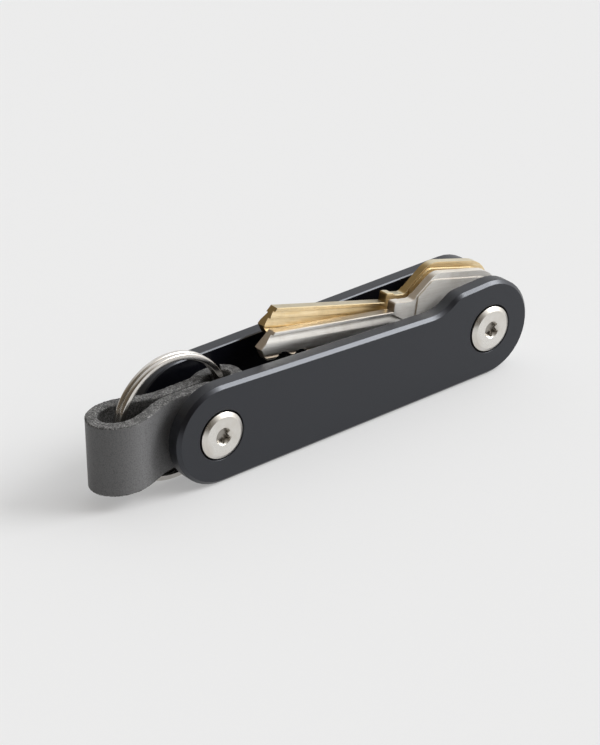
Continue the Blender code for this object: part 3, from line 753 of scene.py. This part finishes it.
def punchHole(piece):
    # The round hole that both plies share, for the post
    data = bmesh.new()
    reach = Matrix.Translation((post["left"], 0, post["height"])) @ Matrix.Rotation(math.pi / 2, 4, "X")
    bmesh.ops.create_cone(
        data, cap_ends=True, segments=strap["holeSides"], radius1=strap["hole"],
        radius2=strap["hole"], depth=strap["holeReach"], matrix=reach)
    punch = addObject("postHole", data)
    step = piece.modifiers.new("hole", "BOOLEAN")
    step.operation = "DIFFERENCE"
    step.solver = "EXACT"
    step.object = punch
    bpy.context.view_layer.update()
    shown = piece.evaluated_get(bpy.context.evaluated_depsgraph_get())
    piece.data = bpy.data.meshes.new_from_object(shown)
    piece.modifiers.clear()
    bpy.data.objects.remove(punch, do_unlink=True)


strapFinishes = [leatherFace("strapFace"), leatherEdge("strapEdge"), leatherFlesh("strapFlesh")]
strapPiece = newPiece("strap_leather", strapMesh(), strapFinishes, "strap")
punchHole(strapPiece)
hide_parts("leather_strap")
print("leather strap made")


# Split ring: one flat spring wire wound twice

def wireSection():
    # The wire's outline with its four corners rounded, as pairs of outward and sideways
    flatOut = ring["depth"] / 2 - ring["corner"]
    flatSide = ring["wire"] / 2 - ring["corner"]
    section = []
    for quarter, (signOut, signSide) in enumerate(((1, 1), (-1, 1), (-1, -1), (1, -1))):
        for i in range(ring["cornerSteps"] + 1):
            angle = math.pi / 2 * (quarter + i / ring["cornerSteps"])
            out = signOut * flatOut + ring["corner"] * math.cos(angle)
            section.append((out, signSide * flatSide + ring["corner"] * math.sin(angle)))
    return section


def ringMesh():
    data = bmesh.new()
    layer = (ring["wire"] + ring["turnGap"]) / 2
    middle = ring["radius"] - ring["depth"] / 2
    stepTurn = ring["stepTurn"]
    total = 4 * math.pi - 2 * ring["endTurn"] - 2 * stepTurn
    section = wireSection()
    loops = []
    for i in range(ring["steps"] + 1):
        angle = -total / 2 + total * i / ring["steps"]
        y = layer * (2 * smooth((angle + stepTurn) / (2 * stepTurn)) - 1)
        outward = Vector((math.cos(angle), 0, math.sin(angle)))
        centre = outward * middle + Vector((0, y, 0))
        places = [centre + outward * out + Vector((0, side, 0)) for out, side in section]
        loops.append([data.verts.new(place) for place in places])
    count = len(section)
    for first, second in zip(loops, loops[1:]):
        for i in range(count):
            j = (i + 1) % count
            data.faces.new((first[i], first[j], second[j], second[i]))
    data.faces.new(loops[0])
    data.faces.new(list(reversed(loops[-1])))
    bmesh.ops.recalc_face_normals(data, faces=data.faces)
    bmesh.ops.rotate(data, verts=data.verts, matrix=Matrix.Rotation(ring["stepPlace"], 3, "Y"))
    bmesh.ops.translate(data, verts=data.verts, vec=Vector(ringCentre))
    return data


def ringSteel(name):
    # Fine lines run round with the wire, and fingers leave it smudged
    material, tree, shader = newMaterial(name)
    place = stretched(tree, middle=ringCentre)
    radius, sideways = aboutAxis(tree, place)
    drawn = addNode(tree, "CombineXYZ", {0: radius, 1: sideways}).outputs[0]
    lines = noiseNode(tree, drawn, ring["lineScale"], 2.0)
    smudges = noiseNode(tree, place, ring["smudgeScale"], 4.0)
    feed(tree, shader, {
        "Base Color": mixNode(tree, smudges, ring["colour"], ring["smudge"]),
        "Roughness": rangeNode(tree, smudges, 0.3, 0.75, *ring["roughness"]),
        "Normal": bumpNode(tree, lines, ring["lineBump"], ring["lineDepth"]),
        "Metallic": 1.0,
    })
    return material


splitRing = newPiece("ring_wire", ringMesh(), [ringSteel("springSteel")], "ring")
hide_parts("split_ring")
print("split ring made")


# Studio: a pale floor, a soft key lamp in a grey room, and the camera at the photograph's angle

studio = {
    "floorColour": (0.828, 0.838, 0.85),
    "floorTone": (0.842, 0.842, 0.842, 1.0),
    "floorSpeck": 0.985,
    "speckScale": 1200.0,
    "ownLight": 0.4,
    "floorSize": 6.0,
    "brightSide": (0.70, 0.55, 0.45),
    "tones": (
        # where along the bright side's direction, and the light there
        (0.0, (0.10, 0.085, 0.07)),
        (0.48, (0.12, 0.10, 0.075)),
        (0.62, (0.18, 0.145, 0.105)),
        (0.73, (0.46, 0.45, 0.43)),
        (0.85, (0.74, 0.74, 0.74)),
        (1.0, (0.84, 0.845, 0.85)),
    ),
    "keyFrom": (0.68, -0.42, 0.60),
    "keyStrength": 1.75,
    "keyAngle": math.radians(29),
    "haloStrength": 1.6,
    "halo": (
        # how the soft edge of the key fades with the angle from its middle
        (0.75, (0.0, 0.0, 0.0)),
        (0.854, (0.1, 0.1, 0.1)),
        (0.91, (0.35, 0.35, 0.35)),
        (0.96, (0.75, 0.75, 0.75)),
        (1.0, (1.0, 1.0, 1.0)),
    ),
}
view = {
    "place": (-0.29888, -0.37503, 0.26555),
    "azimuth": math.radians(38.436),
    "elevation": math.radians(28.01),
    "roll": math.radians(0.905),
    "focalPixels": 2949.2,
    "widthPixels": 600,
    "sensorWidth": 36,
    "nearest": 0.01,
    "farthest": 20,
}


def makeFloor():
    data = bmesh.new()
    bmesh.ops.create_grid(data, x_segments=1, y_segments=1, size=studio["floorSize"] / 2)
    material, tree, shader = newMaterial("paleFloor")
    specks = noiseNode(tree, stretched(tree), studio["speckScale"], 2.0)
    pale = studio["floorColour"]
    colour = mixNode(tree, specks, pale, [c * studio["floorSpeck"] for c in pale])
    feed(tree, shader, {"Base Color": colour, "Roughness": 0.8, "Specular IOR Level": 0.2})
    # A share of the floor's tone is its own light to the camera and in mirrors, which softens the shadow
    rays = addNode(tree, "LightPath").outputs
    seen = mathNode(tree, "MAXIMUM", rays["Is Camera Ray"], rays["Is Glossy Ray"])
    seen = mathNode(tree, "MAXIMUM", seen, rays["Is Transmission Ray"])
    share = times(tree, seen, studio["ownLight"])
    glow = addNode(tree, "Emission", {"Color": studio["floorTone"], "Strength": 1.0}).outputs[0]
    blend = addNode(tree, "MixShader", {0: share, 1: shader.outputs[0], 2: glow}).outputs[0]
    tree.links.new(blend, tree.nodes["Material Output"].inputs["Surface"])
    addObject("floor", data, [material])


def skyTone(tree, towards, stops):
    # The room's light by how closely a direction follows another one
    direction = addNode(tree, "TexCoord").outputs["Generated"]
    inputs = {0: direction, 1: Vector(towards).normalized()}
    along = addNode(tree, "VectorMath", inputs, operation="DOT_PRODUCT").outputs["Value"]
    return rampNode(tree, rangeNode(tree, along, -1.0, 1.0), stops)


def makeWorld():
    world = bpy.data.worlds.new("studioAir")
    bpy.context.scene.world = world
    world.use_nodes = True
    tree = world.node_tree
    background = tree.nodes["Background"]
    room = skyTone(tree, studio["brightSide"], studio["tones"])
    feed(tree, background, {"Color": room, "Strength": 1.0})
    halo = skyTone(tree, studio["keyFrom"], studio["halo"])
    glow = addNode(tree, "Background", {"Color": halo, "Strength": studio["haloStrength"]}).outputs[0]
    both = addNode(tree, "AddShader", {0: background.outputs[0], 1: glow}).outputs[0]
    tree.links.new(both, tree.nodes["World Output"].inputs["Surface"])


def makeKeyLight():
    lamp = bpy.data.lights.new("softKey", "SUN")
    lamp.energy = studio["keyStrength"]
    lamp.angle = studio["keyAngle"]
    holder = bpy.data.objects.new("softKey", lamp)
    holder.rotation_mode = "QUATERNION"
    holder.rotation_quaternion = Vector(studio["keyFrom"]).to_track_quat("Z", "Y")
    bpy.context.scene.collection.objects.link(holder)


def makeCamera():
    sinA, cosA = math.sin(view["azimuth"]), math.cos(view["azimuth"])
    sinE, cosE = math.sin(view["elevation"]), math.cos(view["elevation"])
    sinR, cosR = math.sin(view["roll"]), math.cos(view["roll"])
    right = Vector((cosA, -sinA, 0))
    up = Vector((sinA * sinE, cosA * sinE, cosE))
    ahead = Vector((sinA * cosE, cosA * cosE, -sinE))
    lens = bpy.data.cameras.new("camera")
    lens.sensor_fit = "HORIZONTAL"
    lens.sensor_width = view["sensorWidth"]
    lens.lens = view["focalPixels"] / view["widthPixels"] * lens.sensor_width
    lens.clip_start = view["nearest"]
    lens.clip_end = view["farthest"]
    camera = bpy.data.objects.new("camera", lens)
    turn = Matrix((right * cosR - up * sinR, right * sinR + up * cosR, -ahead)).transposed().to_4x4()
    turn.translation = Vector(view["place"])
    camera.matrix_world = turn
    bpy.context.scene.collection.objects.link(camera)
    bpy.context.scene.camera = camera


makeFloor()
makeWorld()
makeKeyLight()
makeCamera()
bpy.context.scene.view_settings.view_transform = "Standard"
print("studio made")
